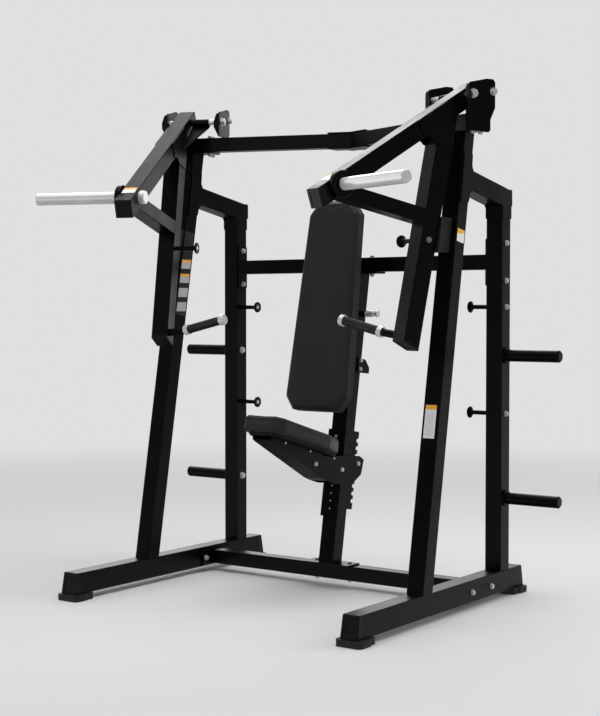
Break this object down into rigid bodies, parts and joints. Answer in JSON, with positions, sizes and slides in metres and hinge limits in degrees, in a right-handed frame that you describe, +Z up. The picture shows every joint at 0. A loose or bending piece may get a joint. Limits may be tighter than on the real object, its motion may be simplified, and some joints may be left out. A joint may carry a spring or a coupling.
{
  "type": "chest press machine",
  "caption": "Plate-loaded seated chest press with two converging overhead-pivot arms, black tube frame, padded seat and backrest and plate storage pegs.",
  "frame": {"origin": "on the floor, at the centre of the machine's footprint box", "axes": "+Z up; the user sits facing -Y; +X is the right-hand side seen from the front with -Y towards the viewer; X = 0 is the plane of symmetry"},
  "size_m": [1.996, 1.327, 2.144],
  "materials": {
    "frame_paint": "satin black powder coat",
    "peg_paint": "satin black powder coat",
    "zinc": "bright zinc plate",
    "chrome": "polished chrome",
    "cap_plastic": "fine-grained black moulding",
    "rubber": "matte black",
    "grip_rubber": "ribbed, slight sheen",
    "placard": "blank printed plate, no text",
    "bronze": "sintered bronze",
    "roller_plastic": "hard plastic",
    "board": "plywood board, covered in black fabric",
    "vinyl": "charcoal grained vinyl, stitched seams"
  },
  "bodies": {
    "frame": {"base_rails": "frame_paint", "front_uprights": "frame_paint", "rear_uprights": "frame_paint", "top_links": "frame_paint", "frame_gusset_plates": "frame_paint", "rear_crossbar": "frame_paint", "floor_crossmember": "frame_paint", "top_crossbeam": "frame_paint", "beam_splice_plates": "frame_paint", "left_pivot_bracket": "frame_paint", "right_pivot_bracket": "frame_paint", "bracket_tie_rods": "zinc", "pivot_shafts": "zinc", "pivot_spacers": "chrome", "tube_end_caps": "cap_plastic", "rubber_feet": "rubber", "storage_pegs": "peg_paint", "band_pegs": "frame_paint", "arm_bumpers": "rubber", "seat_post": "frame_paint", "post_wear_sleeve": "frame_paint", "seat_rack": "frame_paint", "accessory_bracket": "frame_paint", "frame_bolts": "zinc", "blank_placards": "placard"},
    "left_arm": {"left_lever": "frame_paint", "left_handle_tube": "frame_paint", "left_brace": "frame_paint", "left_arm_gussets": "frame_paint", "left_pivot_hub": "frame_paint", "left_bushings": "bronze", "left_weight_horn": "chrome", "left_horn_collar": "frame_paint", "left_arm_caps": "cap_plastic", "left_handle_bar": "frame_paint", "left_grip": "grip_rubber", "left_grip_rings": "chrome", "left_arm_band_peg": "frame_paint"},
    "right_arm": {"right_lever": "frame_paint", "right_handle_tube": "frame_paint", "right_brace": "frame_paint", "right_arm_gussets": "frame_paint", "right_pivot_hub": "frame_paint", "right_bushings": "bronze", "right_weight_horn": "chrome", "right_horn_collar": "frame_paint", "right_arm_caps": "cap_plastic", "right_handle_bar": "frame_paint", "right_grip": "grip_rubber", "right_grip_rings": "chrome", "right_arm_band_peg": "frame_paint"},
    "seat_carriage": {"seat_cushion": "vinyl", "seat_board": "board", "seat_bracket": "frame_paint", "seat_roller": "roller_plastic", "seat_lock_pin": "zinc", "seat_bolts": "zinc"},
    "backrest_carriage": {"backrest_cushion": "vinyl", "backrest_slider": "frame_paint"},
    "backrest_pin": {"pull_pin": "chrome"}
  },
  "joints": [
    {"name": "left_arm_press", "type": "hinge", "parent": "frame", "child": "left_arm", "pos_m": [-0.72647, 0.12388, 2.0792], "axis": [-0.9397, -0.342, 0], "range_deg": [0, 40]},
    {"name": "right_arm_press", "type": "hinge", "parent": "frame", "child": "right_arm", "pos_m": [0.72647, 0.12388, 2.0792], "axis": [-0.9397, 0.342, 0], "range_deg": [0, 40]},
    {"name": "seat_height", "type": "slide", "parent": "frame", "child": "seat_carriage", "axis": [0, 0.1745, 0.9847], "range_m": [-0.1356, 0.0678]},
    {"name": "backrest_depth", "type": "slide", "parent": "frame", "child": "backrest_carriage", "axis": [0, 0.9847, -0.1745], "range_m": [0, 0.12]},
    {"name": "backrest_pin_pull", "type": "slide", "parent": "frame", "child": "backrest_pin", "axis": [1, 0, 0], "range_m": [0, 0.015]}
  ]
}
